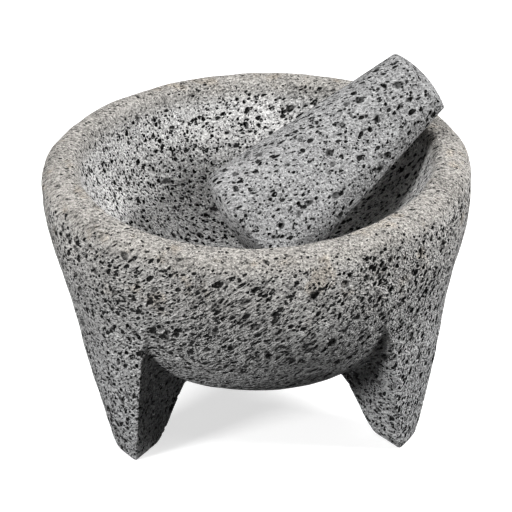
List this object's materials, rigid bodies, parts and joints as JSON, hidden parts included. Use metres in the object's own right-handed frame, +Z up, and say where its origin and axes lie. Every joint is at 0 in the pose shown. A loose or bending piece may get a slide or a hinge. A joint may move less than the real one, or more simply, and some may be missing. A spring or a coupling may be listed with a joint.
{
  "type": "molcajete",
  "caption": "Legged volcanic-stone mortar with a deep round bowl and rounded lip, and a tapered hand stone that leans in it and lifts out.",
  "frame": {"origin": "on the ground, under the centre of the bowl", "axes": "+Z up along the bowl's axis; -Y is the front, between two of the legs; +X to the right, where the tejolote's handle leans over the rim"},
  "size_m": [0.2, 0.2, 0.1718],
  "materials": {
    "mortar_basalt": "hand-carved vesicular basalt, open pores, rim worn paler",
    "tejolote_basalt": "hand-dressed vesicular basalt, finer pores, rubbed smoother"
  },
  "bodies": {
    "mortar": {"mortar": "mortar_basalt"},
    "tejolote": {"tejolote": "tejolote_basalt"}
  },
  "joints": [
    {"name": "tejolote_lift", "type": "slide", "parent": "mortar", "child": "tejolote", "axis": [0, 0, 1], "range_m": [0, 0.12]}
  ]
}
